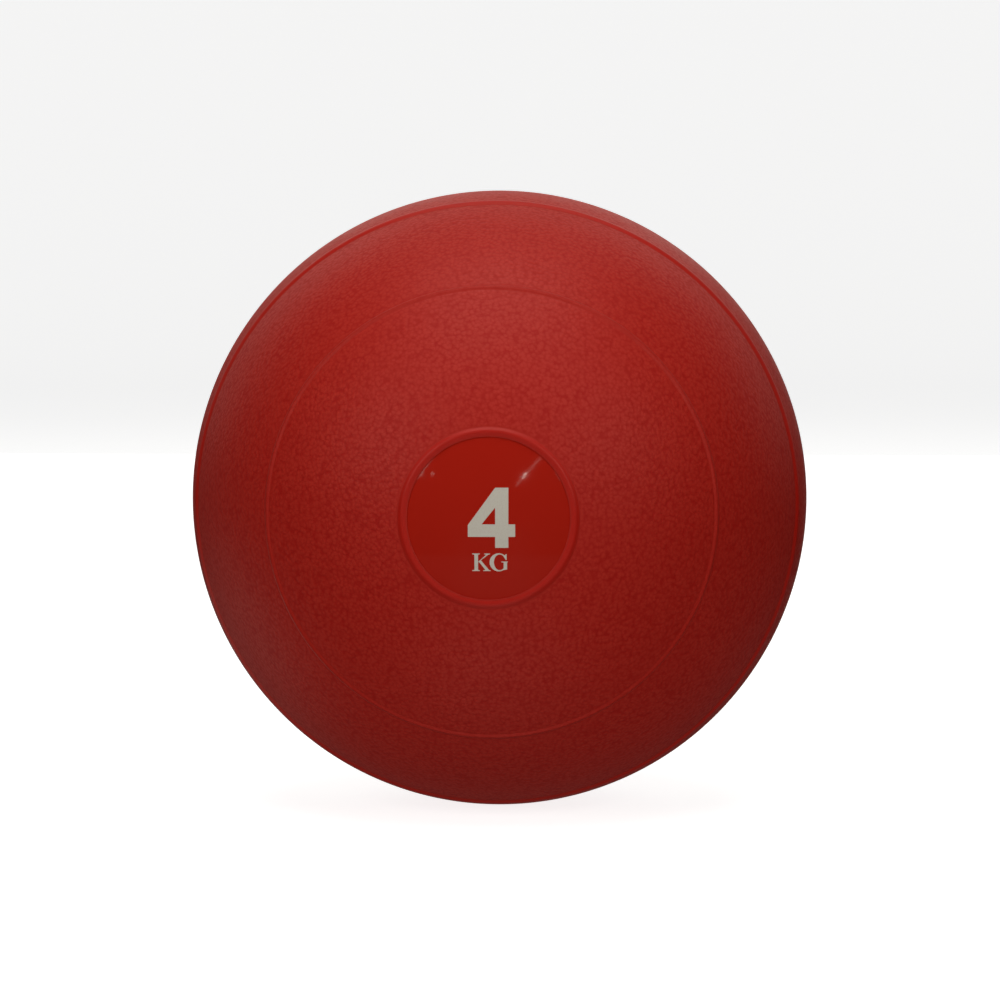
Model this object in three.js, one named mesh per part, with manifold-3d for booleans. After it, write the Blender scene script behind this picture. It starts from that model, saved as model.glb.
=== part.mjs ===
// A 4 kg no-bounce medicine ball, 230 mm across: a one-piece moulded soft PVC shell, part
// filled with loose iron sand through a plugged filler hole, with a printed weight label.
//
// Frame: millimetres, +Z up. The origin is the middle of the flat patch that the ball rests
// on. The moulded poles lie along Y: the weight label faces -Y, the filler hole faces +Y.

import * as THREE from 'three';
import { mergeVertices } from 'three/addons/utils/BufferGeometryUtils.js';
import Module from 'manifold-3d';

const wasm = await Module();
wasm.setup();

// ---------------------------------------------------------------- driving dimensions

const BALL_RADIUS = 115;
const WALL = 8;
const REST_PATCH_RADIUS = 12; // the soft wall flattens this far round the point it rests on
const GAP = 0.3; // clearance between pieces that touch on the real ball

const BEAD_RADIUS = 30.9; // from the pole axis to the middle of the round bead
const BEAD_WIDTH = 3.2;
const BEAD_HEIGHT = 0.9;
const THIN_RIB = { angle: 45, width: 3, height: 0.5 }; // angle from the pole, in degrees
const WIDE_RIB = { angle: 75, width: 5.4, height: 0.9 };

const RECESS_DEPTH = 1.2; // the label beds inside both beads
const LABEL_THICKNESS = 0.6;
const INK_GAP = 0.1;
const INK_THICKNESS = 0.25;

const NUMERAL_HEIGHT = 21.4;
const NUMERAL_WIDTH = 16.8;
const LETTER_HEIGHT = 6.4;

const BORE_RADIUS = 10.8; // filler hole in the shell
const SEAT_RADIUS = 15;
const SEAT_DEPTH = 4.2;
const NECK_LENGTH = 17.5; // from the ball's surface to the neck's inner end
const NECK_RADIUS = 17;
const NECK_FLARE = 3; // how much wider the neck is where it meets the wall
const PLUG_BORE_RADIUS = 6.5;
const PLUG_HEAD_RADIUS = 10;
const PLUG_HEAD_THICKNESS = 1.4;
const PLUG_STEM_RADIUS = 5.6;
const PLUG_SUNK = 0.4; // the head's face lies this far under the ball's surface
const VALVE_RADIUS = 2.7;
const VALVE_FLANGE_RADIUS = 4.2;
const VALVE_FLANGE_THICKNESS = 0.9;
const VALVE_NOSE_LENGTH = 2.6; // the valve's inner end, past the plug
const VALVE_NOSE_RADIUS = 1.6;
const NEEDLE_HOLE_RADIUS = 0.6;
const NEEDLE_HOLE_DEPTH = 6;

const SAND_RADIUS = 105.8;
const SAND_LEVEL = -49; // height of the heap's rim, from the ball's centre
const SAND_CROWN = 4; // the heap's middle stands this much higher

const AROUND_SHELL = 48;
const AROUND_FITTING = 36;
const AROUND_VALVE = 24;

const CENTRE_HEIGHT = Math.sqrt(BALL_RADIUS ** 2 - REST_PATCH_RADIUS ** 2);
const LABEL_OUTSIDE = BALL_RADIUS - RECESS_DEPTH + GAP + LABEL_THICKNESS;
const SEAT_Y = BALL_RADIUS - SEAT_DEPTH;
const NECK_END_Y = BALL_RADIUS - NECK_LENGTH;

// ---------------------------------------------------------------- materials

const PVC_RED = { color: 0x9c2219, roughness: 0.62, metalness: 0 };
const LABEL_RED = { color: 0x961409, roughness: 0.3, metalness: 0 };
const INK_WHITE = { color: 0xc9c7b4, roughness: 0.45, metalness: 0 };
const BUSH_RED = { color: 0x84180f, roughness: 0.5, metalness: 0 };
const PLUG_BLACK = { color: 0x1c1c1d, roughness: 0.6, metalness: 0 };
const VALVE_GREY = { color: 0x2f2e2c, roughness: 0.75, metalness: 0 };
const IRON_SAND = { color: 0x3a3634, roughness: 0.9, metalness: 0 };

// ---------------------------------------------------------------- helpers

const { degToRad, radToDeg } = THREE.MathUtils;

// A lathe profile point at a distance from the ball's centre and an angle from the front pole.
function onSphere(radius, degrees) {
  const angle = degToRad(degrees);
  return new THREE.Vector2(Math.max(0, radius * Math.sin(angle)), -radius * Math.cos(angle));
}

// The angle from a pole at which a sphere reaches a distance from the pole axis.
function angleAt(sphereRadius, axisDistance) {
  return radToDeg(Math.asin(axisDistance / sphereRadius));
}

function arc(radius, from, to, steps) {
  const points = [];
  for (let i = 0; i <= steps; i += 1) {
    points.push(onSphere(radius, from + ((to - from) * i) / steps));
  }
  return points;
}

// A raised half-ellipse across a stretch of the ball's surface, both feet included.
function ridge({ angle, width, height }, steps) {
  const halfAngle = radToDeg(width / 2 / BALL_RADIUS);
  const points = [];
  for (let i = 0; i <= steps; i += 1) {
    const turn = (Math.PI * i) / steps;
    const lift = height * Math.sin(turn);
    points.push(onSphere(BALL_RADIUS + lift, angle - halfAngle * Math.cos(turn)));
  }
  return points;
}

function axisPoint(radius, y) {
  return new THREE.Vector2(radius, y);
}

// Position-only geometry with shared corners and no triangle that has collapsed at a pole.
function closedMesh(geometry) {
  const bare = geometry.clone();
  bare.deleteAttribute('normal');
  bare.deleteAttribute('uv');
  const merged = mergeVertices(bare);
  const corners = merged.index.array;
  const kept = [];
  for (let i = 0; i < corners.length; i += 3) {
    const [a, b, c] = corners.slice(i, i + 3);
    if (a !== b && b !== c && c !== a) {
      kept.push(a, b, c);
    }
  }
  merged.setIndex(kept);
  return merged;
}

function toSolid(geometry) {
  const closed = closedMesh(geometry);
  const solidMesh = new wasm.Mesh({
    numProp: 3,
    vertProperties: Float32Array.from(closed.attributes.position.array),
    triVerts: Uint32Array.from(closed.index.array),
  });
  return new wasm.Manifold(solidMesh);
}

function toGeometry(solid) {
  const { vertProperties, triVerts } = solid.getMesh();
  const geometry = new THREE.BufferGeometry();
  geometry.setAttribute('position', new THREE.BufferAttribute(vertProperties, 3));
  geometry.setIndex(new THREE.BufferAttribute(triVerts, 1));
  geometry.computeVertexNormals();
  return geometry;
}

function addPiece(parent, name, geometry, finish) {
  const piece = new THREE.Mesh(geometry, new THREE.MeshStandardMaterial(finish));
  piece.name = name;
  parent.add(piece);
  return piece;
}

// ---------------------------------------------------------------- shell

function shellProfile() {
  const floor = BALL_RADIUS - RECESS_DEPTH;
  const inside = BALL_RADIUS - WALL;
  const recessRadius = BEAD_RADIUS - BEAD_WIDTH / 2;
  const bead = { angle: angleAt(BALL_RADIUS, BEAD_RADIUS), width: BEAD_WIDTH, height: BEAD_HEIGHT };
  const recessAngle = angleAt(floor, recessRadius);
  const neckRootAngle = angleAt(inside, NECK_RADIUS + NECK_FLARE);

  // From the front pole round the outside: the ridges, with plain arcs between them.
  const ridges = [
    { ...bead, steps: 4 },
    { ...THIN_RIB, steps: 2 },
    { ...WIDE_RIB, steps: 3 },
    { ...WIDE_RIB, angle: 180 - WIDE_RIB.angle, steps: 3 },
    { ...THIN_RIB, angle: 180 - THIN_RIB.angle, steps: 2 },
    { ...bead, angle: 180 - bead.angle, steps: 4 },
  ];
  const points = arc(floor, 0, recessAngle, 2);
  ridges.forEach((band, i) => {
    points.push(...ridge(band, band.steps));
    const next = ridges[i + 1];
    if (next) {
      const steps = band.angle < 90 && next.angle > 90 ? 6 : 5;
      points.push(...arc(BALL_RADIUS, band.angle, next.angle, steps).slice(1, -1));
    }
  });

  // The rear recess, the bush's seat and bore, the neck, and back along the inside wall.
  const seatAngle = angleAt(floor, SEAT_RADIUS);
  points.push(...arc(floor, 180 - recessAngle, 180 - seatAngle, 1));
  points.push(axisPoint(SEAT_RADIUS, SEAT_Y));
  points.push(axisPoint(BORE_RADIUS, SEAT_Y));
  points.push(axisPoint(BORE_RADIUS, NECK_END_Y));
  points.push(axisPoint(NECK_RADIUS, NECK_END_Y));
  points.push(...arc(inside, 180 - neckRootAngle, 0, 12));
  return points;
}

function makeShell() {
  const body = toSolid(new THREE.LatheGeometry(shellProfile(), AROUND_SHELL));
  const slabSize = 80;
  const slab = new THREE.BoxGeometry(slabSize, slabSize, slabSize);
  slab.translate(0, 0, -CENTRE_HEIGHT - slabSize / 2);
  return toGeometry(body.subtract(toSolid(slab)));
}

// ---------------------------------------------------------------- labels and print

const LABEL_RADIUS = BEAD_RADIUS - BEAD_WIDTH / 2 - GAP;
const LABEL_EDGE = angleAt(LABEL_OUTSIDE, LABEL_RADIUS);

// A disc of even thickness that follows the ball's curve about the front pole.
function domedDisc(innerRadius, outerRadius) {
  const points = arc(outerRadius, 0, LABEL_EDGE, 3);
  points.push(...arc(innerRadius, LABEL_EDGE, 0, 3));
  return new THREE.LatheGeometry(points, AROUND_SHELL);
}

function makeWeightLabel() {
  return domedDisc(LABEL_OUTSIDE - LABEL_THICKNESS, LABEL_OUTSIDE);
}

// The same disc at the rear pole, with a hole for the filler bush.
function makeRearLabel() {
  const under = LABEL_OUTSIDE - LABEL_THICKNESS;
  const hole = angleAt(LABEL_OUTSIDE, SEAT_RADIUS + GAP);
  const points = arc(LABEL_OUTSIDE, 180 - LABEL_EDGE, 180 - hole, 2);
  points.push(...arc(under, 180 - hole, 180 - LABEL_EDGE, 2));
  points.push(points[0].clone());
  return new THREE.LatheGeometry(points, AROUND_SHELL);
}

// A bar along Y through the front of the ball, with a given outline in X and Z.
function inkPrism(outline, holes = []) {
  const shape = new THREE.Shape(outline);
  holes.forEach((hole) => shape.holes.push(new THREE.Path(hole)));
  const bar = new THREE.ExtrudeGeometry(shape, { depth: 2 * BALL_RADIUS, bevelEnabled: false });
  bar.rotateX(Math.PI / 2);
  return toSolid(bar);
}

// Ink: what is left of some bars inside a thin domed layer over the label.
function inkFilm(prisms) {
  const under = LABEL_OUTSIDE + INK_GAP;
  const layer = toSolid(domedDisc(under, under + INK_THICKNESS));
  const marks = prisms.reduce((joined, prism) => joined.add(prism));
  return toGeometry(layer.intersect(marks));
}

function outline(centre, ...corners) {
  return corners.map(([x, z]) => new THREE.Vector2(centre.x + x, centre.z + z));
}

// A plain block numeral: a diagonal, a crossbar and a stem, all in one closed outline.
function makeNumeralFour() {
  const centre = { x: 1.2, z: 0.4 };
  const top = NUMERAL_HEIGHT / 2;
  const side = NUMERAL_WIDTH / 2;
  const stemLeft = 1.3;
  const stemRight = 6;
  const barTop = -2.3;
  const barBottom = -6.8;
  const counterTop = 3.7;
  const counterLeft = -3.5;
  const edge = outline(
    centre,
    [stemLeft, top],
    [-side, barTop - 0.3],
    [-side, barBottom],
    [stemLeft, barBottom],
    [stemLeft, -top],
    [stemRight, -top],
    [stemRight, barBottom],
    [side, barBottom],
    [side, barTop],
    [stemRight, barTop],
    [stemRight, top],
  );
  const counter = outline(
    centre,
    [stemLeft, counterTop],
    [stemLeft, barTop],
    [counterLeft, barTop],
  );
  return inkFilm([inkPrism(edge, [counter])]);
}

function inkBar(centre, left, right, bottom, top) {
  return inkPrism(outline(centre, [left, bottom], [right, bottom], [right, top], [left, top]));
}

const LETTER_Z = -15.5;
const SERIF = 0.45;

// A book capital: a stem and two diagonals, each ending in a thin serif.
function makeLetterK() {
  const centre = { x: -2.5, z: LETTER_Z };
  const top = LETTER_HEIGHT / 2;
  const upperArm = outline(centre, [-1.2, -0.5], [-1.2, 0.2], [1.6, top - 0.1], [2.4, top - 0.1]);
  const lowerLeg = outline(centre, [-0.6, 0.4], [0.3, 1.1], [3.1, -top + 0.1], [1.4, -top + 0.1]);
  return inkFilm([
    inkBar(centre, -2.4, -1.1, -top, top),
    inkBar(centre, -3.2, -0.3, top - SERIF, top),
    inkBar(centre, -3.2, -0.3, -top, -top + SERIF),
    inkBar(centre, 1, 3.1, top - SERIF, top),
    inkBar(centre, 0.9, 3.3, -top, -top + SERIF),
    inkPrism(upperArm),
    inkPrism(lowerLeg),
  ]);
}

// A book capital: a bowl with a heavy left side, open at the right, and a short stem.
function makeLetterG() {
  const centre = { x: 3.8, z: LETTER_Z };
  const steps = 14;
  const from = degToRad(38);
  const to = degToRad(322);
  const outside = [];
  const inside = [];
  for (let i = 0; i <= steps; i += 1) {
    const turn = from + ((to - from) * i) / steps;
    outside.push([3.2 * Math.cos(turn), (LETTER_HEIGHT / 2) * Math.sin(turn)]);
    inside.unshift([0.35 + 2.1 * Math.cos(turn), (LETTER_HEIGHT / 2 - SERIF) * Math.sin(turn)]);
  }
  const bowl = outline(centre, ...outside, ...inside);
  return inkFilm([
    inkPrism(bowl),
    inkBar(centre, 1.7, 2.9, -2.5, 0.1),
    inkBar(centre, 0.9, 3.2, -0.3, 0.1),
    inkBar(centre, 2.1, 2.6, 0.9, LETTER_HEIGHT / 2 - 0.3),
  ]);
}

// ---------------------------------------------------------------- filler fittings

const BUSH_RADIUS = BORE_RADIUS - GAP;
const HEAD_POCKET_Y = BALL_RADIUS - PLUG_SUNK - PLUG_HEAD_THICKNESS - GAP;
const BUSH_END_Y = NECK_END_Y - 2;

// A flanged sleeve that lines the filler hole, held in the neck by a lip at its inner end.
function makeFillerBush() {
  const flange = SEAT_RADIUS - GAP;
  const pocket = PLUG_HEAD_RADIUS + GAP;
  const lip = BUSH_RADIUS + 2.5;
  const points = [
    axisPoint(PLUG_BORE_RADIUS, BUSH_END_Y),
    axisPoint(lip - 1.2, BUSH_END_Y),
    axisPoint(lip, NECK_END_Y - GAP),
    axisPoint(BUSH_RADIUS, NECK_END_Y - GAP),
    axisPoint(BUSH_RADIUS, SEAT_Y + GAP),
    axisPoint(flange, SEAT_Y + GAP),
    onSphere(LABEL_OUTSIDE, 180 - angleAt(LABEL_OUTSIDE, flange)),
    onSphere(LABEL_OUTSIDE, 180 - angleAt(LABEL_OUTSIDE, pocket)),
    axisPoint(pocket, HEAD_POCKET_Y),
    axisPoint(PLUG_BORE_RADIUS, HEAD_POCKET_Y),
    axisPoint(PLUG_BORE_RADIUS, BUSH_END_Y),
  ];
  return new THREE.LatheGeometry(points, AROUND_FITTING);
}

const PLUG_FACE_Y = BALL_RADIUS - PLUG_SUNK;
const PLUG_END_Y = NECK_END_Y - 1;
const VALVE_FACE_Y = PLUG_FACE_Y - 0.2;

// A stopper with a flat head and a stem with sealing ridges, bored through for the valve.
function makeFillerPlug() {
  const headUnder = PLUG_FACE_Y - PLUG_HEAD_THICKNESS;
  const bore = VALVE_RADIUS + GAP;
  const counterbore = VALVE_FLANGE_RADIUS + GAP;
  const counterboreY = PLUG_FACE_Y - VALVE_FLANGE_THICKNESS - GAP;
  const points = [axisPoint(bore, PLUG_END_Y), axisPoint(PLUG_STEM_RADIUS - 0.8, PLUG_END_Y)];
  const ridgePitch = (headUnder - PLUG_END_Y) / 4;
  for (let i = 1; i <= 3; i += 1) {
    const y = PLUG_END_Y + ridgePitch * i;
    points.push(axisPoint(PLUG_STEM_RADIUS, y - 1));
    points.push(axisPoint(PLUG_STEM_RADIUS + 0.6, y));
    points.push(axisPoint(PLUG_STEM_RADIUS, y + 0.4));
  }
  points.push(
    axisPoint(PLUG_STEM_RADIUS, headUnder),
    axisPoint(PLUG_HEAD_RADIUS, headUnder),
    axisPoint(PLUG_HEAD_RADIUS, PLUG_FACE_Y - 0.5),
    axisPoint(PLUG_HEAD_RADIUS - 0.5, PLUG_FACE_Y),
    axisPoint(counterbore, PLUG_FACE_Y),
    axisPoint(counterbore, counterboreY),
    axisPoint(bore, counterboreY),
    axisPoint(bore, PLUG_END_Y),
  );
  return new THREE.LatheGeometry(points, AROUND_FITTING);
}

// A self-sealing rubber insert for a pump needle, with a flange at each end of the plug.
function makeNeedleValve() {
  const innerFlangeY = PLUG_END_Y - GAP;
  const noseY = innerFlangeY - VALVE_NOSE_LENGTH;
  const outerFlangeY = VALVE_FACE_Y - VALVE_FLANGE_THICKNESS;
  const holeEndY = VALVE_FACE_Y - NEEDLE_HOLE_DEPTH;
  const points = [
    axisPoint(0, noseY),
    axisPoint(VALVE_NOSE_RADIUS, noseY),
    axisPoint(VALVE_FLANGE_RADIUS, innerFlangeY - VALVE_FLANGE_THICKNESS),
    axisPoint(VALVE_FLANGE_RADIUS, innerFlangeY),
    axisPoint(VALVE_RADIUS, innerFlangeY),
    axisPoint(VALVE_RADIUS, outerFlangeY),
    axisPoint(VALVE_FLANGE_RADIUS, outerFlangeY),
    axisPoint(VALVE_FLANGE_RADIUS, VALVE_FACE_Y),
    axisPoint(2 * NEEDLE_HOLE_RADIUS, VALVE_FACE_Y),
    axisPoint(NEEDLE_HOLE_RADIUS, VALVE_FACE_Y - NEEDLE_HOLE_RADIUS),
    axisPoint(NEEDLE_HOLE_RADIUS, holeEndY),
    axisPoint(0, holeEndY),
  ];
  return new THREE.LatheGeometry(points, AROUND_VALVE);
}

// ---------------------------------------------------------------- sand

// The settled heap: a cap of the hollow, with a slightly crowned top, turned upright.
function makeSandFill() {
  const rimAngle = radToDeg(Math.acos(-SAND_LEVEL / SAND_RADIUS));
  const rim = onSphere(SAND_RADIUS, rimAngle);
  const points = arc(SAND_RADIUS, 0, rimAngle, 8);
  [0.5, 0].forEach((share) => {
    points.push(axisPoint(rim.x * share, SAND_LEVEL + SAND_CROWN * (1 - share * share)));
  });
  return new THREE.LatheGeometry(points, AROUND_FITTING);
}

// ---------------------------------------------------------------- assembly

const ball = new THREE.Group();
ball.position.z = CENTRE_HEIGHT;

addPiece(ball, 'shell', makeShell(), PVC_RED);
addPiece(ball, 'weight_label', makeWeightLabel(), LABEL_RED);
addPiece(ball, 'numeral_4', makeNumeralFour(), INK_WHITE);
addPiece(ball, 'letter_K', makeLetterK(), INK_WHITE);
addPiece(ball, 'letter_G', makeLetterG(), INK_WHITE);
addPiece(ball, 'rear_label', makeRearLabel(), LABEL_RED);
addPiece(ball, 'filler_bush', makeFillerBush(), BUSH_RED);
addPiece(ball, 'filler_plug', makeFillerPlug(), PLUG_BLACK);
addPiece(ball, 'needle_valve', makeNeedleValve(), VALVE_GREY);

const sand = addPiece(ball, 'sand_fill', makeSandFill(), IRON_SAND);
sand.rotation.x = Math.PI / 2;

const medicineBall = new THREE.Group();
medicineBall.add(ball);

export default medicineBall;
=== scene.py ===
# %% [markdown]
# # A moulded medicine ball
#
# The real ball is one thick shell of soft PVC, cast in a heated, turning mould, and part
# filled with iron sand so that it lands dead. Raised rings and a pebble grain come from the
# mould. A smooth label with the weight sits inside the front ring, and the filler hole with
# its plug is at the back. Nearly every piece is round about one axis, so nearly every piece
# here is a profile turned about that axis, worked out with numpy as one grid of points.
#
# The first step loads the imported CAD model, which fixes every size and place.

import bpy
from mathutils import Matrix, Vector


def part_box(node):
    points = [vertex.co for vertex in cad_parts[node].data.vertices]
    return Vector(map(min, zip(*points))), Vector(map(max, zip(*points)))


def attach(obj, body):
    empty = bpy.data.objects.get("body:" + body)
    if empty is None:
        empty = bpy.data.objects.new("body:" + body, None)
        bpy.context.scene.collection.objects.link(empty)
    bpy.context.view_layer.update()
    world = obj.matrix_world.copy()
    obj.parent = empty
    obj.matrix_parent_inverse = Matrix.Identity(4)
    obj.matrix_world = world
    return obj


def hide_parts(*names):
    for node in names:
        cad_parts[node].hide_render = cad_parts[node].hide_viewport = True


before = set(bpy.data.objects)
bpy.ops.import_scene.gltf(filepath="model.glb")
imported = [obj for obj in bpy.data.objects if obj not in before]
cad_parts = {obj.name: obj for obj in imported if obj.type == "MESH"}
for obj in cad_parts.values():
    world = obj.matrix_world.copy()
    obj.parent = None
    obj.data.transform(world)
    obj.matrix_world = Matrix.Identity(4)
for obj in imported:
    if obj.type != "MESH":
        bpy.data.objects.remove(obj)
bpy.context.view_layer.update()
print("CAD nodes:", sorted(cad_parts))

# %% Read the ball's own sizes from the frame
import math

import bmesh
import bpy
import numpy as np
from mathutils import Vector

MM = 0.001
shell_low, shell_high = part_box("shell")
BALL_RADIUS = (shell_high.x - shell_low.x) / 2
CENTRE = Vector((0, 0, shell_high.z - BALL_RADIUS))
label_low, label_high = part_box("weight_label")
LABEL_RADIUS = label_high.x
LABEL_OUTSIDE = -label_low.y
print(f"ball radius {BALL_RADIUS / MM:.1f} mm, centre {CENTRE.z / MM:.2f} mm up")
print(f"label radius {LABEL_RADIUS / MM:.1f} mm, {LABEL_OUTSIDE / MM:.1f} mm from the centre")

# %% [markdown]
# ## Camera
#
# A long lens about two metres away gives the ball an almost flat, catalogue look: the rings
# near the edge stay round and close to the outline. The camera stands a little to the right
# of the label and a little above it, and looks at the ball's centre. A tiny lens shift frames
# the ball.

# %% Camera
CAMERA_DISTANCE = 2.1
CAMERA_AZIMUTH = math.radians(2.03)
CAMERA_ELEVATION = math.radians(3.8)
LENS = 201.4
SENSOR_WIDTH = 36

camera = bpy.data.objects.new("camera", bpy.data.cameras.new("camera"))
bpy.context.scene.collection.objects.link(camera)
camera.data.sensor_width = SENSOR_WIDTH
camera.data.lens = LENS
camera.data.shift_x = 0.0005
camera.data.shift_y = -0.0009
camera.data.clip_end = 50
towards_camera = Vector((
    math.sin(CAMERA_AZIMUTH) * math.cos(CAMERA_ELEVATION),
    -math.cos(CAMERA_AZIMUTH) * math.cos(CAMERA_ELEVATION),
    math.sin(CAMERA_ELEVATION),
))
camera.location = CENTRE + CAMERA_DISTANCE * towards_camera
camera.rotation_euler = (-towards_camera).to_track_quat("-Z", "Y").to_euler()
bpy.context.scene.camera = camera
bpy.context.scene.view_settings.view_transform = "Standard"
print("camera at", [round(v, 3) for v in camera.location])

# %% [markdown]
# ## Two helpers for round pieces
#
# Blender's Spin and Screw tools could turn a profile, but a grid of points gives full control
# over where the points are dense: a few tenths of a millimetre apart on a moulded ring, and
# millimetres apart on the plain curve between rings. `rounded` softens the corners of a
# profile first, because no moulded or punched edge is truly sharp.

# %% Rounded corners and the turned surface
def rounded(corners, steps=5):
    """Softens a profile's corners.

    Each corner is (distance from axis, distance along axis, softening length). A corner with
    a softening length becomes a quadratic Bezier curve that leaves its incoming side and
    joins its outgoing side that far from the corner, or at most half of the shorter side.
    """
    places = [np.array(corner[:2], float) for corner in corners]
    points = [places[0]]
    for before, here, after, corner in zip(places, places[1:], places[2:], corners[1:-1]):
        back, on = before - here, after - here
        reach = min(corner[2], np.hypot(*back) / 2, np.hypot(*on) / 2)
        start = here + back / np.hypot(*back) * reach
        end = here + on / np.hypot(*on) * reach
        t = np.linspace(0, 1, steps)[:, None] if reach > 0 else np.zeros((1, 1))
        points.extend((1 - t) ** 2 * start + 2 * t * (1 - t) * here + t**2 * end)
    points.append(places[-1])
    return np.array(points)


def new_piece(name, points, faces):
    """A smooth-shaded mesh object at the origin, with its place in its points."""
    mesh = bpy.data.meshes.new(name)
    mesh.from_pydata(np.asarray(points, float).tolist(), [], [list(f) for f in faces])
    mesh.shade_smooth()
    piece = bpy.data.objects.new(name, mesh)
    bpy.context.scene.collection.objects.link(piece)
    return piece


def turned(name, profile, around, axis="Y", centre=CENTRE):
    """Turns a profile about an axis through the ball's centre.

    For axis Y a profile point (r, h) at turn t is x = r sin t, y = h, z = r cos t; for axis Z
    it is x = r cos t, y = r sin t, z = h. A point on the axis is a single vertex, joined to
    the next ring by triangles. A profile that ends off the axis has to end where it starts,
    and its last row is then its first row. Faces look outwards if the profile runs along its
    axis with the material on the axis side.
    """
    profile = np.asarray(profile, float)
    loops_back = profile[0, 0] > 0 and np.allclose(profile[0], profile[-1])
    rows = profile[:-1] if loops_back else profile
    turn = np.linspace(0, 2 * math.pi, around, endpoint=False)
    on_axis = rows[:, 0] < 1e-9
    sizes = np.where(on_axis, 1, around)
    starts = np.concatenate([[0], np.cumsum(sizes)[:-1]])
    index = starts[:, None] + np.where(on_axis[:, None], 0, np.arange(around)[None, :])
    r, h = rows[:, :1], np.broadcast_to(rows[:, 1:], (len(rows), around))
    if axis == "Y":
        grid = np.stack([r * np.sin(turn), h, r * np.cos(turn)], axis=-1)
    else:
        grid = np.stack([r * np.cos(turn), r * np.sin(turn), h], axis=-1)
    points = np.zeros((sizes.sum(), 3))
    points[index.ravel()] = grid.reshape(-1, 3) + np.array(centre)
    if loops_back:
        index = np.vstack([index, index[:1]])
    near, far = index[:-1], index[1:]
    near_next, far_next = np.roll(near, -1, axis=1), np.roll(far, -1, axis=1)
    quads = np.stack([near, near_next, far_next, far], axis=-1).reshape(-1, 4)
    flat_near = quads[:, 0] == quads[:, 1]
    flat_far = quads[:, 2] == quads[:, 3]
    faces = [*quads[~flat_near & ~flat_far]]
    faces += [*quads[flat_near & ~flat_far][:, [0, 2, 3]]]
    faces += [*quads[flat_far & ~flat_near][:, [0, 1, 2]]]
    return new_piece(name, points, faces)


def on_sphere(radius, angle):
    """Profile points at a distance from the ball's centre, by angle from the front pole."""
    return np.stack([radius * np.sin(angle), -radius * np.cos(angle)], axis=-1)

# %% [markdown]
# ## Shader maths written as expressions
#
# A finish is easier to read as `0.45 + 0.1 * blotches` than as a chain of Math nodes. `Link`
# wraps a node's output and turns sums into Math nodes. `Finish` owns one material and adds
# any other node: its settings first, then its sockets.

# %% Link and Finish
class Link:
    """A node's output that can stand in a sum."""

    def __init__(self, finish, socket):
        self.finish = finish
        self.socket = socket

    def _math(self, operation, *values):
        return self.finish.node("ShaderNodeMath", {"operation": operation}, values)

    def __add__(self, other):
        return self._math("ADD", self, other)

    __radd__ = __add__

    def __sub__(self, other):
        return self._math("SUBTRACT", self, other)

    def __rsub__(self, other):
        return self._math("SUBTRACT", other, self)

    def __mul__(self, other):
        return self._math("MULTIPLY", self, other)

    __rmul__ = __mul__


class Finish:
    """One material, built node by node."""

    def __init__(self, name):
        self.material = bpy.data.materials.new(name)
        self.material.use_nodes = True
        self.tree = self.material.node_tree
        self.tree.nodes.clear()
        self.millimetres = self._object_millimetres()

    def node(self, kind, settings=None, sockets=(), output=0):
        """Adds a node; sockets are given in order, or by name, as values or links."""
        node = self.tree.nodes.new(kind)
        for key, value in (settings or {}).items():
            if key == "stops":
                self._set_stops(node.color_ramp, value)
            else:
                setattr(node, key, value)
        named = sockets.items() if isinstance(sockets, dict) else enumerate(sockets)
        for key, value in named:
            if isinstance(value, Link):
                self.tree.links.new(value.socket, node.inputs[key])
            else:
                node.inputs[key].default_value = value
        return Link(self, node.outputs[output]) if node.outputs else node

    def _set_stops(self, ramp, stops):
        while len(ramp.elements) < len(stops):
            ramp.elements.new(1.0)
        for element, (place, level) in zip(ramp.elements, stops):
            element.position = place
            element.color = (level, level, level, 1)

    def _object_millimetres(self):
        place = self.node("ShaderNodeTexCoord", output="Object")
        centred = {"Location": tuple(-CENTRE / MM), "Scale": (1 / MM,) * 3}
        return self.node("ShaderNodeMapping", None, {"Vector": place, **centred})

    def noise(self, size, detail=2.0, where=None, output="Fac"):
        """Cloudy noise whose blobs are about `size` millimetres across, from 0 to 1."""
        sockets = {"Vector": where or self.millimetres, "Scale": 1 / size, "Detail": detail}
        return self.node("ShaderNodeTexNoise", None, sockets, output)

    def ramp(self, value, *stops):
        """Maps a value through (place, level) stops."""
        return self.node("ShaderNodeValToRGB", {"stops": stops}, {"Fac": value})

    def mix(self, share, first, second):
        """A colour that goes from the first to the second as share goes from 0 to 1."""
        sockets = {0: share, 6: colour(first), 7: colour(second)}
        return self.node("ShaderNodeMix", {"data_type": "RGBA"}, sockets, output=2)

    def bump(self, height, depth):
        """A normal shaded as if `height`, from 0 to 1, stood `depth` millimetres tall."""
        sockets = {"Height": height, "Distance": depth * MM, "Strength": 1.0}
        return self.node("ShaderNodeBump", None, sockets)

    def finish_with(self, **sockets):
        """Closes the material with a Principled shader; underscores stand for spaces."""
        named = {key.replace("_", " "): value for key, value in sockets.items()}
        shader = self.node("ShaderNodeBsdfPrincipled", None, named)
        self.node("ShaderNodeOutputMaterial", None, {"Surface": shader})
        return self.material


def colour(value):
    """Three numbers as an opaque colour; a link stays a link."""
    return value if isinstance(value, Link) else (*value, 1.0)
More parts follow.
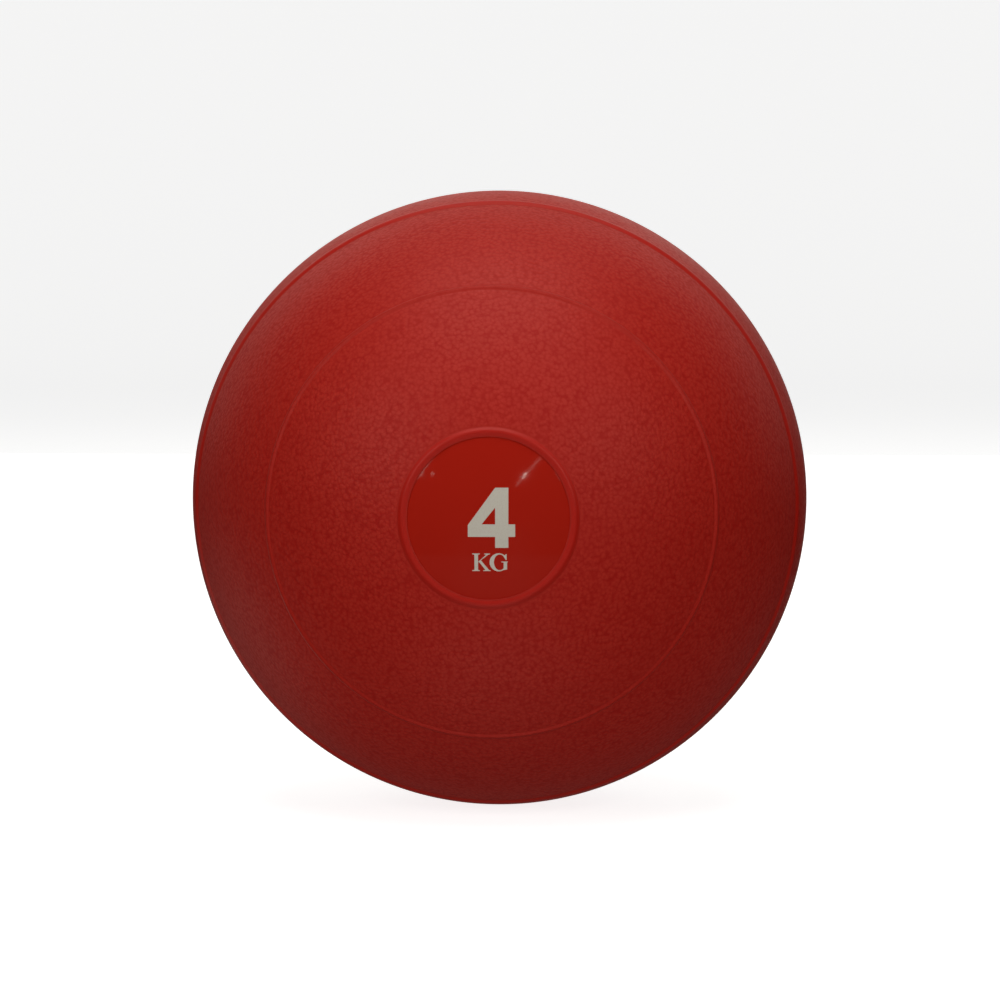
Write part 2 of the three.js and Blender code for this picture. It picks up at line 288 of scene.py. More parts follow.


# %% [markdown]
# ## The shell's finish
#
# The mould is etched all over except on its beads and wide ribs, so the soft PVC comes out
# with a pebble grain of flat bumps about a millimetre and a half across, and smooth, redder
# rings. Their colour is painted lighter than the grained skin's, which stands in for the shade
# that the grain's hollows cast on the skin. A mesh fine enough for that grain would take
# millions of faces, so it is a bump: Voronoi cells with their edges pushed about by noise, plus
# finer noise. The tops of the bumps are painted paler, as painted glints, and the gullies
# between them a deeper red, as painted shade. The piece carries a `grain` attribute that fades
# all of this out at each smooth ring, and part of it on the fine ribs. The skin's colour also
# drifts a little in wide blotches.

# %% Shell finishes
PVC_RED = (0.43, 0.0138, 0.0077)
PVC_DEEP = (0.39, 0.0122, 0.0067)
# The smooth rings' colour is painted lighter than the skin's, in place of the shade that the
# grain's hollows cast on the skin.
PVC_SMOOTH_PAINTED_LIGHTER = (0.465, 0.0108, 0.0056)
# Painted shade in the gullies between the bumps, and painted glints on the bump tops.
PVC_GULLY_PAINTED_SHADE = (0.382, 0.0052, 0.0027)
PVC_BUMP_TOP_PAINTED_GLINT = (0.472, 0.0208, 0.0124)


def grained_pvc():
    finish = Finish("grained_pvc")
    wander = finish.noise(1.4, detail=1.0, output="Color")
    pushed = finish.node(
        "ShaderNodeVectorMath",
        {"operation": "MULTIPLY_ADD"},
        (wander, (1.1, 1.1, 1.1), finish.millimetres),
    )
    cells = finish.node("ShaderNodeTexVoronoi", None, {"Vector": pushed, "Scale": 1 / 1.45})
    grain = finish.node("ShaderNodeAttribute", {"attribute_name": "grain"}, output="Fac")
    patchy = finish.ramp(finish.noise(9, detail=3.0), (0.3, 0.7), (0.7, 1.0)) * grain
    pebbles = finish.ramp(cells, (0.25, 1.0), (0.85, 0.0))
    height = pebbles * 0.6 + finish.noise(0.8, detail=2.0) * 0.4
    blotches = finish.noise(42, detail=4.0)
    plain = finish.mix(blotches * 0.6, PVC_RED, PVC_DEEP)
    # The bump tops are painted paler as painted glints, and the gullies darker as painted shade.
    bump_top_share = finish.ramp(height, (0.2, 0.0), (0.8, 1.0))
    painted_glint_and_shade = finish.mix(bump_top_share, PVC_GULLY_PAINTED_SHADE, PVC_BUMP_TOP_PAINTED_GLINT)
    return finish.finish_with(
        Base_Color=finish.mix(patchy, plain, painted_glint_and_shade),
        Roughness=0.5 + 0.14 * blotches - 0.08 * bump_top_share,
        Specular_IOR_Level=0.2,
        Normal=finish.bump(height * patchy, 0.14),
    )


def smooth_pvc():
    finish = Finish("smooth_pvc")
    blotches = finish.noise(18, detail=3.0)
    # Base colour painted lighter than the grained skin's, standing in for the shade of the
    # grain's hollows.
    tone = finish.mix(blotches * 0.3, PVC_SMOOTH_PAINTED_LIGHTER, PVC_DEEP)
    ripple = finish.noise(2.2, detail=2.0)
    return finish.finish_with(
        Base_Color=tone,
        Roughness=0.36 + 0.1 * blotches,
        Specular_IOR_Level=0.2,
        Normal=finish.bump(ripple, 0.02),
    )


GRAINED_PVC = grained_pvc()
SMOOTH_PVC = smooth_pvc()
print("shell finishes:", GRAINED_PVC.name, SMOOTH_PVC.name)

# %% [markdown]
# ## The shell
#
# Everything that the mould gives is one closed wall, from the front recess round the outside
# to the filler hole and back along the inside. The rings are low swells, with soft feet, added
# to the ball's radius: a bead about each label, a fine rib halfway to the middle, and a wider
# rib nearer to it. A faint parting line runs round the middle, where the mould's halves
# meet. Under the ball the soft wall flattens into the patch that it rests on.

# %% Where the rings are
BEAD = {"angle": math.asin(30.9 * MM / BALL_RADIUS), "width": 3.9, "height": 0.6, "bare": 1.0}
FINE_RIB = {"angle": math.radians(45), "width": 2.8, "height": 0.42, "bare": 0.7}
WIDE_RIB = {"angle": math.radians(74.8), "width": 5.8, "height": 0.8, "bare": 1.0}
PARTING_LINE = {"angle": math.radians(90), "width": 1.0, "height": 0.12, "bare": 0.0}
FRONT_RINGS = [BEAD, FINE_RIB, WIDE_RIB]
REAR_RINGS = [{**ring, "angle": math.pi - ring["angle"]} for ring in FRONT_RINGS]
RINGS = [*FRONT_RINGS, PARTING_LINE, *REAR_RINGS]


def half_angle(ring):
    return ring["width"] * MM / 2 / BALL_RADIUS


def across(ring, angle):
    """How far an angle is across a ring: 0 at its crest, 1 at its feet."""
    return np.abs(angle - ring["angle"]) / half_angle(ring)


def outside_radius(angle):
    """The ball's radius plus, on each ring, height * (1 - across^2) ^ 2."""
    radius = np.full_like(angle, BALL_RADIUS)
    for ring in RINGS:
        inside = np.clip(1 - across(ring, angle) ** 2, 0, 1)
        radius += ring["height"] * MM * inside**2
    return radius


def grain_strength(angle):
    """1 on the plain skin; at each ring it fades to 1 - bare, which is 0 on a smooth ring."""
    strength = np.ones_like(angle)
    for ring in RINGS:
        away = np.clip((across(ring, angle) - 0.85) / 0.5, 0, 1)
        strength = np.minimum(strength, 1 - ring["bare"] * (1 - away))
    return strength


# %% The shell's profile and mesh
WALL = 8 * MM
RECESS_RADIUS = LABEL_RADIUS + 0.3 * MM
RECESS_FLOOR = BALL_RADIUS - 1.2 * MM
bush_low, bush_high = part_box("filler_bush")
SEAT_RADIUS = bush_high.x + 0.3 * MM
SEAT_DEPTH_Y = BALL_RADIUS - 4.2 * MM
BORE_RADIUS = 10.8 * MM
NECK_END = BALL_RADIUS - 17.5 * MM
NECK_RADIUS = 17 * MM


def shell_profile():
    """The closed wall's profile, and how many of its first rows lie on the outside."""
    foot = BEAD["angle"] - half_angle(BEAD)
    angles = [np.linspace(foot, math.pi - foot, 80)]
    for ring in RINGS:
        reach = 1.3 * half_angle(ring)
        angles.append(np.linspace(ring["angle"] - reach, ring["angle"] + reach, 19))
    angle = np.unique(np.concatenate(angles))
    angle = angle[(angle >= foot) & (angle <= math.pi - foot)]
    outside = on_sphere(outside_radius(angle), angle)
    floor_angle = math.asin(RECESS_RADIUS / RECESS_FLOOR)
    front_floor = on_sphere(RECESS_FLOOR, np.linspace(0, floor_angle, 12))
    seat_angle = math.asin(SEAT_RADIUS / RECESS_FLOOR)
    rear_angles = np.linspace(math.pi - floor_angle, math.pi - seat_angle, 8)
    rear_floor = on_sphere(RECESS_FLOOR, rear_angles)
    neck = rounded([
        (*rear_floor[-1], 0),
        (SEAT_RADIUS, SEAT_DEPTH_Y, 0.3 * MM),
        (BORE_RADIUS, SEAT_DEPTH_Y, 0.4 * MM),
        (BORE_RADIUS, NECK_END, 0.5 * MM),
        (NECK_RADIUS, NECK_END, 3 * MM),
        (NECK_RADIUS + 1.5 * MM, BALL_RADIUS - WALL - 2.5 * MM, 3 * MM),
        (NECK_RADIUS + 6 * MM, BALL_RADIUS - WALL - 2.2 * MM, 0),
    ])[1:]
    inside_from = math.pi - math.asin((NECK_RADIUS + 7 * MM) / (BALL_RADIUS - WALL))
    inside = on_sphere(BALL_RADIUS - WALL, np.linspace(inside_from, 0, 36))
    profile = np.vstack([front_floor, outside, rear_floor, neck, inside])
    profile[[0, -1], 0] = 0
    strength = np.concatenate([
        np.zeros(len(front_floor)),
        grain_strength(angle),
        np.zeros(len(rear_floor) + len(neck) + len(inside)),
    ])
    return profile, strength


def rest_on_floor(height):
    """Flattens heights under the floor with a soft turn of size s.

    The new height is (h + sqrt(h^2 + 4 s^2)) / 2, less s^2 over a millimetre.
    """
    softness = 0.06 * MM
    return (height + np.sqrt(height**2 + 4 * softness**2)) / 2 - softness**2 / MM


def make_shell():
    profile, strength = shell_profile()
    around = 320
    shell = turned("ball_shell", profile, around)
    mesh = shell.data
    points = np.zeros(len(mesh.vertices) * 3)
    mesh.vertices.foreach_get("co", points)
    points = points.reshape(-1, 3)
    low = points[:, 2] < 3 * MM
    points[low, 2] = rest_on_floor(points[low, 2])
    mesh.vertices.foreach_set("co", points.ravel())
    counts = np.where(profile[:, 0] < 1e-9, 1, around)
    grain = mesh.attributes.new("grain", "FLOAT", "POINT")
    grain.data.foreach_set("value", np.repeat(strength, counts).astype(np.float32))
    mesh.materials.append(GRAINED_PVC)
    mesh.materials.append(SMOOTH_PVC)
    row_of_point = np.repeat(np.arange(len(profile)), counts)
    first = np.zeros(len(mesh.polygons), np.int32)
    mesh.polygons.foreach_get("loop_start", first)
    corners = np.zeros(len(mesh.loops), np.int32)
    mesh.loops.foreach_get("vertex_index", corners)
    rows = row_of_point[corners]
    ends = np.stack([rows[first], rows[first + 2]], axis=-1)
    smooth = strength[ends].max(axis=1) < 0.02
    mesh.polygons.foreach_set("material_index", smooth.astype(np.int32))
    mesh.update()
    return shell


ball_shell = make_shell()
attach(ball_shell, "ball")
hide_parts("shell")
print("shell:", len(ball_shell.data.vertices), "points,", len(ball_shell.data.polygons), "faces")

# %% [markdown]
# ## The weight label
#
# The label is a thin disc of glossy vinyl bedded in the recess inside the bead. It is domed
# like the ball, so it mirrors the room as a convex mirror does. A disc cut from a sphere
# would have a knife edge; this profile runs out over the dome, round a softened rim and back
# underneath. Its finish is a clear, even red with a faint orange-peel ripple from the roller,
# and fine handling scratches that only show in a reflection.

# %% Label finish
LABEL_RED = (0.43, 0.0146, 0.0072)
LABEL_DEEP = (0.40, 0.0135, 0.0068)


def label_vinyl():
    finish = Finish("label_vinyl")
    drift = finish.noise(30, detail=2.0)
    stretched = finish.node(
        "ShaderNodeMapping",
        None,
        {"Vector": finish.millimetres, "Rotation": (0, 0.6, 0), "Scale": (0.15, 1, 4.5)},
    )
    scratches = finish.ramp(finish.noise(1.2, 6.0, stretched), (0.62, 0.0), (0.70, 1.0))
    peel = finish.noise(3.5, detail=1.0)
    return finish.finish_with(
        Base_Color=finish.mix(drift * 0.5, LABEL_RED, LABEL_DEEP),
        Roughness=0.055 + 0.02 * drift + 0.1 * scratches,
        Specular_IOR_Level=0.22,
        Normal=finish.bump(peel, 0.004),
    )


LABEL_VINYL = label_vinyl()

# %% Weight label
LABEL_THICKNESS = 0.6 * MM
LABEL_PRESSED_RADIUS = LABEL_RADIUS + 0.25 * MM
label_edge = math.asin(LABEL_PRESSED_RADIUS / LABEL_OUTSIDE)


def label_front_profile():
    over = on_sphere(LABEL_OUTSIDE, np.linspace(0, label_edge, 40))
    under = on_sphere(LABEL_OUTSIDE - LABEL_THICKNESS, np.linspace(label_edge, 0, 12))
    rim = rounded([(*over[-2], 0), (*over[-1], 0.1 * MM), (*under[0], 0.2 * MM), (*under[1], 0)])
    profile = np.vstack([over[:-2], rim, under[2:]])
    profile[[0, -1], 0] = 0
    return profile


weight_label = turned("front_label", label_front_profile(), 200)
weight_label.data.materials.append(LABEL_VINYL)
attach(weight_label, "ball")
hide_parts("weight_label")
print("weight label:", len(weight_label.data.polygons), "faces")

# %% [markdown]
# ## The printed weight
#
# Screen ink is a film a few hundredths of a millimetre thick, so its edge barely catches the
# light and it follows the label's dome exactly. Each mark starts as a flat outline, which
# Blender fills as a 2D curve. The flat face is then sliced into a fine grid, because a big
# flat face can't bend, laid on the dome by moving each point along the ball's axis, and
# given its thickness. The numeral is all straight strokes; the two small capitals have thin
# serifs, and the round one's bowl is two ellipses, one off-centre, which makes its left side
# heavy.

# %% From flat outline to domed ink
INK_THICKNESS = 0.05 * MM
INK_OUTSIDE = LABEL_OUTSIDE + 0.06 * MM
INK_PITCH = 0.8 * MM


def filled_outline(name, outlines):
    """A flat mesh in X and Y, filled between closed outlines given in millimetres."""
    curve = bpy.data.curves.new(name, "CURVE")
    curve.dimensions = "2D"
    curve.fill_mode = "BOTH"
    for outline in outlines:
        corners = np.array(outline, float) * MM
        spline = curve.splines.new("POLY")
        spline.points.add(len(corners) - 1)
        padded = np.hstack([corners, np.zeros((len(corners), 1)), np.ones((len(corners), 1))])
        spline.points.foreach_set("co", padded.ravel())
        spline.use_cyclic_u = True
    holder = bpy.data.objects.new(name, curve)
    bpy.context.scene.collection.objects.link(holder)
    depsgraph = bpy.context.evaluated_depsgraph_get()
    mesh = bpy.data.meshes.new_from_object(holder.evaluated_get(depsgraph))
    bpy.data.objects.remove(holder)
    return mesh


def sliced(mesh, pitch):
    """Cuts a flat mesh along a square grid so that it can bend, and drops empty faces."""
    form = bmesh.new()
    form.from_mesh(mesh)
    bmesh.ops.remove_doubles(form, verts=form.verts, dist=1e-7)
    corners = np.array([v.co for v in form.verts])
    for side in (0, 1):
        normal = (1, 0, 0) if side == 0 else (0, 1, 0)
        first, last = corners[:, side].min(), corners[:, side].max()
        for place in np.arange(first + pitch / 2, last, pitch):
            cut_at = Vector(normal) * place
            everything = [*form.verts, *form.edges, *form.faces]
            bmesh.ops.bisect_plane(form, geom=everything, plane_co=cut_at, plane_no=normal)
    bmesh.ops.remove_doubles(form, verts=form.verts, dist=1e-6)
    bmesh.ops.dissolve_degenerate(form, edges=form.edges, dist=1e-6)
    form.to_mesh(mesh)
    form.free()
    return mesh


def printed(name, outlines, centre):
    """Lays outlines on the label: (u, v) goes to x = u, z = v, y = -sqrt(R^2 - u^2 - v^2)."""
    moved = [np.array(outline, float) + centre for outline in outlines]
    mesh = sliced(filled_outline(name, moved), INK_PITCH)
    flat = np.zeros(len(mesh.vertices) * 3)
    mesh.vertices.foreach_get("co", flat)
    u, v = flat.reshape(-1, 3)[:, :2].T
    y = -np.sqrt(INK_OUTSIDE**2 - u**2 - v**2)
    points = np.stack([u, y, v], axis=-1) + np.array(CENTRE)
    mesh.vertices.foreach_set("co", points.ravel())
    mesh.update()
    mark = bpy.data.objects.new(name, mesh)
    bpy.context.scene.collection.objects.link(mark)
    if mesh.polygons[0].normal.y > 0:
        mesh.flip_normals()
    film = mark.modifiers.new("film", "SOLIDIFY")
    film.thickness = INK_THICKNESS
    film.offset = -1
    depsgraph = bpy.context.evaluated_depsgraph_get()
    solid = bpy.data.meshes.new_from_object(mark.evaluated_get(depsgraph))
    mark.modifiers.clear()
    mark.data = solid
    solid.shade_smooth()
    solid.set_sharp_from_angle(angle=math.radians(40))
    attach(mark, "ball")
    return mark


# %% Ink finish
INK_WHITE = (0.63, 0.595, 0.555)
INK_GREY = (0.60, 0.56, 0.51)
INK_THIN = (0.52, 0.37, 0.33)


def label_ink():
    finish = Finish("label_ink")
    coverage = finish.ramp(finish.noise(0.5, detail=3.0), (0.3, 0.75), (0.55, 1.0))
    cloud = finish.noise(7, detail=2.0)
    off_white = finish.mix(cloud * 0.5, INK_WHITE, INK_GREY)
    tone = finish.mix(coverage, INK_THIN, off_white)
    return finish.finish_with(
        Base_Color=tone,
        Roughness=0.34 + 0.1 * cloud,
        Normal=finish.bump(coverage, 0.006),
    )


LABEL_INK = label_ink()

# %% The numeral
NUMERAL_CENTRE = (1.2, 0.4)
numeral_edge = [
    (1.3, 10.7), (-8.4, -2.6), (-8.4, -6.8), (1.3, -6.8), (1.3, -10.7), (6.0, -10.7),
    (6.0, -6.8), (8.4, -6.8), (8.4, -2.3), (6.0, -2.3), (6.0, 10.7),
]
numeral_counter = [(1.3, 3.7), (1.3, -2.3), (-3.5, -2.3)]
numeral = printed("printed_numeral", [numeral_edge, numeral_counter], NUMERAL_CENTRE)
numeral.data.materials.append(LABEL_INK)
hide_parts("numeral_4")

# %% The two capitals
CAPITALS_Z = -15.5
straight_capital = [
    (-3.2, 3.15), (-0.45, 3.15), (-0.45, 2.92), (-1.1, 2.72), (-1.1, 0.1), (1.8, 2.72),
    (1.1, 2.92), (1.1, 3.15), (3.2, 3.15), (3.2, 2.92), (2.5, 2.72), (-0.1, 0.75),
    (2.75, -2.72), (3.35, -2.9), (3.35, -3.15), (0.7, -3.15), (0.7, -2.92), (1.5, -2.72),
    (-0.8, 0.15), (-1.1, -0.1), (-1.1, -2.72), (-0.45, -2.92), (-0.45, -3.15),
    (-3.2, -3.15), (-3.2, -2.92), (-2.4, -2.72), (-2.4, 2.72), (-3.2, 2.92),
]


def ellipse(centre_x, half_width, half_height, first, last, steps=28):
    """Points round an ellipse between two angles in degrees."""
    t = np.radians(np.linspace(first, last, steps))
    return np.stack([centre_x + half_width * np.cos(t), half_height * np.sin(t)], axis=-1)


round_capital = [
    (2.8, 0.85), (2.8, 2.95), (2.5, 2.95), (2.3, 2.55),
    *ellipse(0, 3.25, 3.25, 52, 300),
    (2.98, -2.55), (2.98, -0.1), (3.25, 0.05), (3.25, 0.28),
    (0.95, 0.28), (0.95, 0.05), (1.75, -0.1), (1.75, -2.15),
    *ellipse(0.35, 2.05, 2.85, 308, 50),
    (2.5, 0.85),
]
letter_k = printed("printed_letter_K", [straight_capital], (-2.5, CAPITALS_Z))
letter_g = printed("printed_letter_G", [round_capital], (3.75, CAPITALS_Z))
for letter, node in ((letter_k, "letter_K"), (letter_g, "letter_G")):
    letter.data.materials.append(LABEL_INK)
    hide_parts(node)
    print(letter.name, len(letter.data.polygons), "faces")

# %% [markdown]
# ## The back: blank label, bush, plug and needle valve
#
# The sand is poured in through the rear pole. A bush lines that hole, a rubber plug with
# sealing ridges closes it, and a small valve in the plug takes a pump needle. They are turned
# pieces like the shell, with every corner softened, and each keeps the clearance that the
# design gives it, so the plug can slide out. The rear label carries no print.

# %% Rear label
def rear_label_profile():
    hole = math.asin((SEAT_RADIUS + 0.3 * MM) / LABEL_OUTSIDE)
    over = on_sphere(LABEL_OUTSIDE, np.linspace(math.pi - label_edge, math.pi - hole, 24))
    inner = LABEL_OUTSIDE - LABEL_THICKNESS
    under = on_sphere(inner, np.linspace(math.pi - hole, math.pi - label_edge, 24))
    return rounded([
        (*((over[0] + under[-1]) / 2), 0),
        (*over[0], 0.2 * MM),
        *[(*point, 0) for point in over[1:-1]],
        (*over[-1], 0.2 * MM),
        (*under[0], 0.2 * MM),
        *[(*point, 0) for point in under[1:-1]],
        (*under[-1], 0.2 * MM),
        (*((over[0] + under[-1]) / 2), 0),
    ])


rear_label = turned("rear_label_ring", rear_label_profile(), 200)
rear_label.data.materials.append(LABEL_VINYL)
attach(rear_label, "ball")
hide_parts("rear_label")
print("rear label:", len(rear_label.data.polygons), "faces")

# %% Fitting finishes
def moulded(name, red_green_blue, roughness, grain_size, depth):
    """A plain moulded plastic or rubber with a fine mould grain and a slight bloom."""
    finish = Finish(name)
    bloom = finish.noise(5, detail=4.0)
    pale = tuple(0.75 * c + 0.02 for c in red_green_blue)
    return finish.finish_with(
        Base_Color=finish.mix(bloom * 0.6, red_green_blue, pale),
        Roughness=roughness + 0.15 * bloom,
        Normal=finish.bump(finish.noise(grain_size, detail=3.0), depth),
    )


BUSH_PVC = moulded("bush_pvc", (0.24, 0.010, 0.006), 0.4, 0.8, 0.02)
PLUG_RUBBER = moulded("plug_rubber", (0.012, 0.012, 0.013), 0.45, 0.5, 0.03)
VALVE_RUBBER = moulded("valve_rubber", (0.035, 0.032, 0.03), 0.6, 0.3, 0.03)

# %% Bush, plug and valve
plug_low, plug_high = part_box("filler_plug")
valve_low, valve_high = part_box("needle_valve")
BUSH_RADIUS = 10.5 * MM
PLUG_BORE = 6.5 * MM
STEM_RADIUS = 5.6 * MM
HEAD_THICKNESS = 1.4 * MM
VALVE_RADIUS = 2.7 * MM
GAP = 0.3 * MM


def bush_profile():
    flange, pocket = bush_high.x, plug_high.x + GAP
    pocket_floor = plug_high.y - HEAD_THICKNESS - GAP
    lip = BUSH_RADIUS + 2.5 * MM
    dome = np.linspace(flange, pocket, 8)
    return rounded([
        (PLUG_BORE, (bush_low.y + pocket_floor) / 2, 0),
        (PLUG_BORE, bush_low.y, 0.3 * MM),
        (lip - 1.2 * MM, bush_low.y, 0.3 * MM),
        (lip, NECK_END - GAP, 0.2 * MM),
        (BUSH_RADIUS, NECK_END - GAP, 0.2 * MM),
        (BUSH_RADIUS, SEAT_DEPTH_Y + GAP, 0.3 * MM),
        (flange, SEAT_DEPTH_Y + GAP, 0.2 * MM),
        *[(r, math.sqrt(LABEL_OUTSIDE**2 - r**2), 0.3 * MM) for r in dome],
        (pocket, pocket_floor, 0.2 * MM),
        (PLUG_BORE, pocket_floor, 0.3 * MM),
        (PLUG_BORE, (bush_low.y + pocket_floor) / 2, 0),
    ])


def plug_profile():
    under_head = plug_high.y - HEAD_THICKNESS
    bore, counterbore = VALVE_RADIUS + GAP, valve_high.x + GAP
    counterbore_floor = plug_high.y - 1.2 * MM
    pitch = (under_head - plug_low.y) / 4
    ridges = []
    for i in (1, 2, 3):
        crest = plug_low.y + pitch * i
        ridges += [
            (STEM_RADIUS, crest - 1.0 * MM, 0.3 * MM),
            (STEM_RADIUS + 0.6 * MM, crest, 0.2 * MM),
            (STEM_RADIUS, crest + 0.4 * MM, 0.2 * MM),
        ]
    return rounded([
        (bore, (plug_low.y + counterbore_floor) / 2, 0),
        (bore, plug_low.y, 0.2 * MM),
        (STEM_RADIUS - 0.8 * MM, plug_low.y, 0.4 * MM),
        *ridges,
        (STEM_RADIUS, under_head, 0.3 * MM),
        (plug_high.x, under_head, 0.3 * MM),
        (plug_high.x, plug_high.y, 0.6 * MM),
        (counterbore, plug_high.y, 0.25 * MM),
        (counterbore, counterbore_floor, 0.2 * MM),
        (bore, counterbore_floor, 0.2 * MM),
        (bore, (plug_low.y + counterbore_floor) / 2, 0),
    ])


def valve_profile():
    flange, thickness, needle = valve_high.x, 0.9 * MM, 0.6 * MM
    inner_flange = plug_low.y - GAP
    return rounded([
        (0, valve_low.y, 0),
        (1.6 * MM, valve_low.y, 0.6 * MM),
        (flange, inner_flange - thickness, 0.4 * MM),
        (flange, inner_flange, 0.2 * MM),
        (VALVE_RADIUS, inner_flange, 0.2 * MM),
        (VALVE_RADIUS, valve_high.y - thickness, 0.2 * MM),
        (flange, valve_high.y - thickness, 0.2 * MM),
        (flange, valve_high.y, 0.3 * MM),
        (2 * needle, valve_high.y, 0.4 * MM),
        (needle, valve_high.y - needle, 0.3 * MM),
        (needle, valve_high.y - 6 * MM, 0.2 * MM),
        (0, valve_high.y - 6 * MM, 0),
    ])


FITTINGS = [
    ("hole_bush", bush_profile(), "ball", "filler_bush", "bush_pvc", BUSH_PVC),
    ("pull_out_plug", plug_profile(), "plug", "filler_plug", "plug_rubber", PLUG_RUBBER),
    ("pump_needle_valve", valve_profile(), "plug", "needle_valve", "valve_rubber", VALVE_RUBBER),
]
for name, profile, body, node, slot, material in FITTINGS:
    fitting = turned(name, profile, 120)
    fitting.data.materials.append(material)
    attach(fitting, body)
    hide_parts(node)
    print(name, len(fitting.data.polygons), "faces")

# %% [markdown]
# ## The sand
#
# Iron sand fills a little under a fifth of the hollow and settles as a level heap. It is a
# cap of the inside sphere, turned about the upright axis, whose top is gently uneven: a few
# long, low waves laid over it as whole arrays. The grains are a fine bump and a speckled,
# dark, slightly metallic colour.

# %% Sand
SAND_CROWN = 4 * MM
SAND_SETTLES = 1.5 * MM


def iron_sand():
    finish = Finish("iron_sand")
    grains = finish.noise(0.45, detail=2.0)
    speck = finish.ramp(grains, (0.58, 0.0), (0.66, 1.0))
    damp = finish.noise(22, detail=3.0)
    dark = finish.mix(damp, (0.035, 0.030, 0.028), (0.065, 0.055, 0.05))
    return finish.finish_with(
        Base_Color=finish.mix(speck, dark, (0.22, 0.19, 0.17)),
        Roughness=0.85 - 0.4 * speck,
        Metallic=0.6 * speck,
        Normal=finish.bump(grains, 0.35),
    )


def uneven(x, y):
    """A sum of long sine waves with seeded directions and phases, in metres."""
    dice = np.random.default_rng(4)
    height = np.zeros_like(x)
    for length, tall in ((70, 1.1), (45, 0.8), (26, 0.4), (15, 0.2)):
        heading, phase = dice.uniform(0, 2 * math.pi, 2)
        along = x * math.cos(heading) + y * math.sin(heading)
        height += tall * MM * np.sin(2 * math.pi * along / (length * MM) + phase)
    return height


def make_sand():
    low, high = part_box("sand_fill")
    radius = CENTRE.z - low.z
    level = high.z - CENTRE.z - SAND_CROWN
    rim = math.acos(-level / radius)
    under = on_sphere(radius, np.linspace(0, rim, 40))
    share = np.linspace(0.985, 0, 50)
    top = np.stack([under[-1, 0] * share, level + SAND_CROWN * (1 - share**2)], axis=-1)
    profile = np.vstack([under, top])
    profile[[0, -1], 0] = 0
    heap = turned("sand_heap", profile, 180, axis="Z")
    points = np.zeros(len(heap.data.vertices) * 3)
    heap.data.vertices.foreach_get("co", points)
    points = points.reshape(-1, 3)
    reach = np.hypot(points[:, 0], points[:, 1]) / under[-1, 0]
    on_top = points[:, 2] > CENTRE.z + level - 1e-6
    fade = np.clip(1 - reach**4, 0, 1) * on_top
    points[:, 2] += uneven(points[:, 0], points[:, 1]) * fade - SAND_SETTLES * fade
    heap.data.vertices.foreach_set("co", points.ravel())
    heap.data.materials.append(iron_sand())
    heap.data.update()
    return heap


sand_heap = make_sand()
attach(sand_heap, "sand")
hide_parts("sand_fill")
print("sand:", len(sand_heap.data.polygons), "faces")

# %% [markdown]
# ## Studio
#
# The stage is a round cove: a pale floor that curves up into a pale wall all the way round,
# so the ball stands in front of white from every side and no corner or horizon shows. It
# glows, as a well-lit cove does. It is kept out of the ball's own diffuse and glossy
# light, because the ball should be lit by the soft boxes alone, with darker sides and a
# darker underside.

# %% Cove
def cove_paint():
    paint = bpy.data.materials.new("cove_paint")
    paint.use_nodes = True
    shader = paint.node_tree.nodes["Principled BSDF"]
    shader.inputs["Base Color"].default_value = (0.5, 0.5, 0.53, 1)
    shader.inputs["Roughness"].default_value = 0.9
    shader.inputs["Emission Color"].default_value = (1, 1, 1, 1)
    shader.inputs["Emission Strength"].default_value = 0.85
    return paint


def make_cove():
    """A profile turned about Z: a flat floor, a quarter-circle bend and a high wall."""
    flat, bend, wall = 3.4, 1.2, 5.0
    turn = np.linspace(0, math.pi / 2, 24)
    curve = np.stack([flat + bend * np.sin(turn), bend * (1 - np.cos(turn))], axis=-1)
    profile = np.vstack([[(0, 0), (0.5, 0), (1.5, 0)], curve, [(flat + bend, wall)]])
    cove = turned("cove", profile, 96, axis="Z", centre=Vector((0, 0, 0)))
    cove.data.materials.append(cove_paint())
    cove.visible_diffuse = False
    cove.visible_glossy = False
    cove.visible_shadow = False
    return cove


cove = make_cove()

# %% [markdown]
# ## Lights
#
# A plain studio rig, all soft boxes. Each is placed by its direction from the ball, and its
# level is the share of full daylight that it gives a surface facing it, so moving a box
# farther away doesn't dim it. Every level but the crown's is a simple share of the key's. The
# biggest box stands over the crown. A pair of keys stands at the front, the left one a little
# stronger, and weaker pairs behind put a pale edge on the skin and keep the back readable.
# One below fills the underside, with a weak one low on the left. The box low in front would
# show in the glossy label as a bright square, so it gives no reflections. A glowing disc
# under the floor adds to the underside, and its edge is the soft horizon in the label. Three
# small lamps do the opposite: they only show as reflections, a streak with its tail and a
# speck on the label.

# %% Soft boxes
WARM_WHITE = (1.0, 0.98, 0.88)
CROWN_LEVEL = 0.6
KEY_LEVEL = 0.25
FILL_LEVEL = KEY_LEVEL * 0.6
UNDER_LEVEL = KEY_LEVEL * 0.4
BACK_LEVEL = KEY_LEVEL / 3
RIM_LEVEL = KEY_LEVEL / 6
LEFT_IS_STRONGER = 0.05
CROWN_BOX = (1.6, 1.6)
BOX = (1.2, 1.2)
LOW_BOX = (1.0, 1.0)
LAMP_DISTANCE = 4.0


def area_light(name, size, power):
    """An area light whose warm light reaches the ball, and which the camera doesn't see."""
    lamp = bpy.data.lights.new(name, "AREA")
    lamp.shape = "RECTANGLE"
    lamp.size, lamp.size_y = size
    lamp.energy = power
    lamp.color = WARM_WHITE
    box = bpy.data.objects.new(name, lamp)
    bpy.context.scene.collection.objects.link(box)
    box.visible_camera = False
    return box


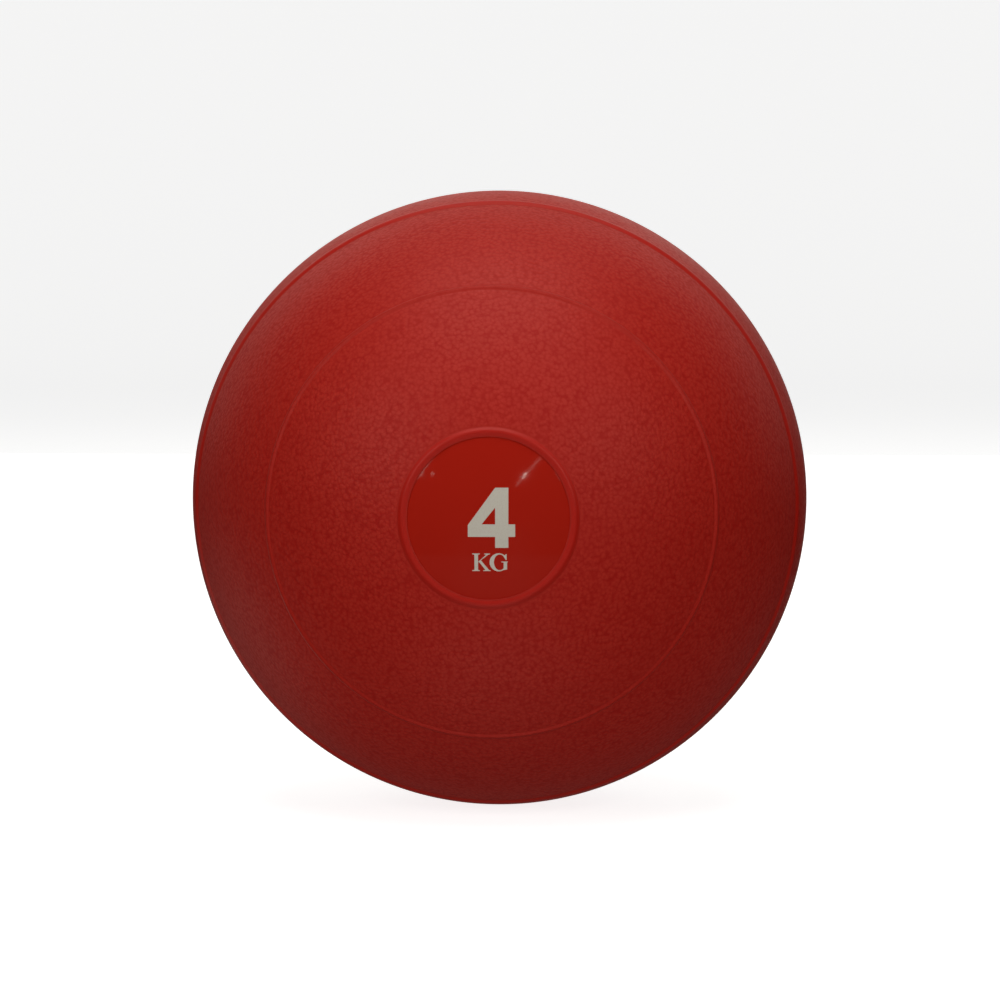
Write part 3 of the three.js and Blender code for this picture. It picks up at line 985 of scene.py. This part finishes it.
def soft_box(name, azimuth, elevation, distance, size, strength):
    """A square box that faces the ball; its power is strength * pi^2 * distance^2."""
    box = area_light(name, size, strength * math.pi**2 * distance**2)
    a, e = math.radians(azimuth), math.radians(elevation)
    away = Vector((math.sin(a) * math.cos(e), -math.cos(a) * math.cos(e), math.sin(e)))
    box.location = CENTRE + distance * away
    box.rotation_euler = (-away).to_track_quat("-Z", "Y").to_euler()
    return box


soft_box("crown", 0, 80, 2.0, CROWN_BOX, CROWN_LEVEL)
for side, name in ((-1, "left"), (1, "right")):
    share = 1 - side * LEFT_IS_STRONGER
    soft_box(f"{name}_key", side * 40, 25, 2.4, BOX, KEY_LEVEL * share)
    soft_box(f"{name}_rim", side * 135, 20, 2.2, BOX, RIM_LEVEL)
    soft_box(f"{name}_back", side * 160, 35, 2.2, BOX, BACK_LEVEL)
soft_box("back_low", 180, 5, 2.2, BOX, BACK_LEVEL)
soft_box("under_front", 0, -60, 2.2, BOX, UNDER_LEVEL)
soft_box("under_left", -120, -25, 2.2, BOX, RIM_LEVEL)
low_front = soft_box("low_front", 0, -20, 2.2, LOW_BOX, FILL_LEVEL)
low_front.visible_glossy = False

# %% Floor glow
GLOW_RADIUS = 0.45
GLOW_DEPTH = 0.005
GLOW = 0.1
glow = area_light("floor_glow", (2 * GLOW_RADIUS,) * 2, GLOW * (math.pi * GLOW_RADIUS) ** 2)
glow.data.shape = "DISK"
glow.location = (0, 0, -GLOW_DEPTH)
glow.rotation_euler = (math.pi, 0, 0)

# %% The label's streak and speck
def label_lamp(name, azimuth, elevation, size, tilt, radiance):
    """A far lamp with a given radiance, seen only in reflections; its power is pi^2 L area."""
    power = radiance * math.pi**2 * size[0] * size[1]
    level = power / (math.pi * LAMP_DISTANCE) ** 2
    lamp = soft_box(name, azimuth, elevation, LAMP_DISTANCE, size, level)
    lamp.rotation_euler.rotate_axis("Z", math.radians(tilt))
    lamp.visible_diffuse = False
    return lamp


label_lamp("streak", 11.2, 11.7, (0.16, 0.05), 45, 9)
label_lamp("streak_tail", 13.0, 13.4, (1.0, 0.04), 47, 1.3)
label_lamp("speck", -22.8, 11.9, (0.06, 0.06), 0, 3)

world = bpy.data.worlds.new("room")
bpy.context.scene.world = world
world.use_nodes = True
world.node_tree.nodes["Background"].inputs["Color"].default_value = (0, 0, 0, 1)
